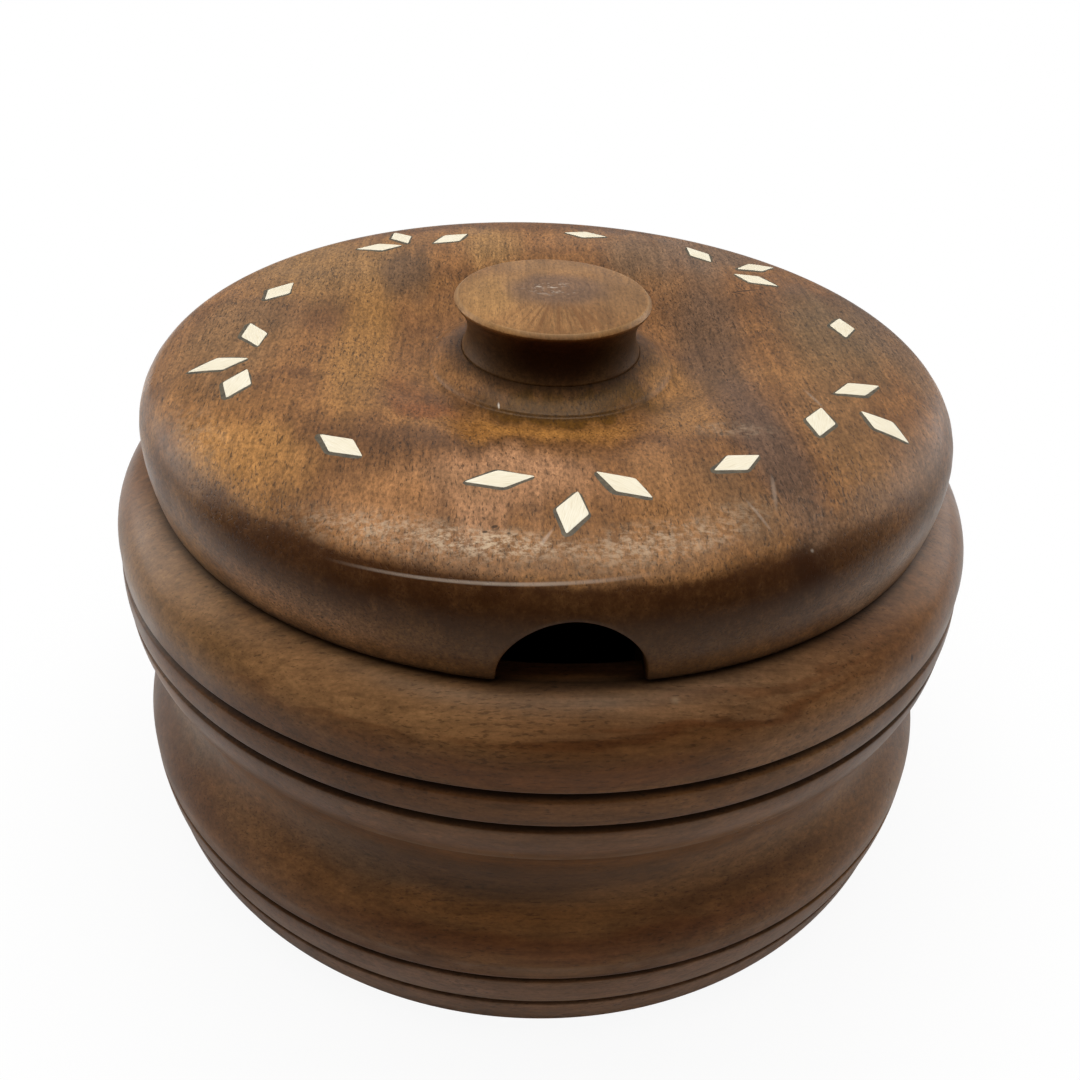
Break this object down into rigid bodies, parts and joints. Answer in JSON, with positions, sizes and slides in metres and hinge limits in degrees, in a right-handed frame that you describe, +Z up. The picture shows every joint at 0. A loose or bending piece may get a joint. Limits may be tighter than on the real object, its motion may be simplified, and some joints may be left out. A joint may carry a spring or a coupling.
{
  "type": "lidded wooden bowl",
  "caption": "Round turned hardwood box with a lift-off lid, waisted knob, spoon notch and bone diamonds inlaid around the lid.",
  "frame": {"origin": "centre of the flat base, on the axis of turning", "axes": "+Z up along the axis of turning, -Y towards the spoon notch, +X to the right when the notch is seen from the front"},
  "size_m": [0.1406, 0.1406, 0.0912],
  "materials": {
    "body_wood": "oiled and polished medium brown hardwood",
    "lid_wood": "oiled and polished medium brown hardwood with darker streaks",
    "knob_wood": "oiled and polished golden brown hardwood with a dark figure",
    "bone": "smooth ivory-coloured bone, sanded flush"
  },
  "bodies": {
    "bowl": {"bowl": "body_wood"},
    "lid": {"lid": "lid_wood", "knob": "knob_wood", "bone_leaf_1_middle": "bone", "bone_leaf_1_left": "bone", "bone_leaf_1_right": "bone", "bone_leaf_2_middle": "bone", "bone_leaf_2_left": "bone", "bone_leaf_2_right": "bone", "bone_leaf_3_middle": "bone", "bone_leaf_3_left": "bone", "bone_leaf_3_right": "bone", "bone_leaf_4_middle": "bone", "bone_leaf_4_left": "bone", "bone_leaf_4_right": "bone", "bone_leaf_5_middle": "bone", "bone_leaf_5_left": "bone", "bone_leaf_5_right": "bone", "bone_diamond_1": "bone", "bone_diamond_2": "bone", "bone_diamond_3": "bone", "bone_diamond_4": "bone", "bone_diamond_5": "bone"}
  },
  "joints": [
    {"name": "lid_lift", "type": "slide", "parent": "bowl", "child": "lid", "axis": [0, 0, 1], "range_m": [0, 0.06]}
  ]
}
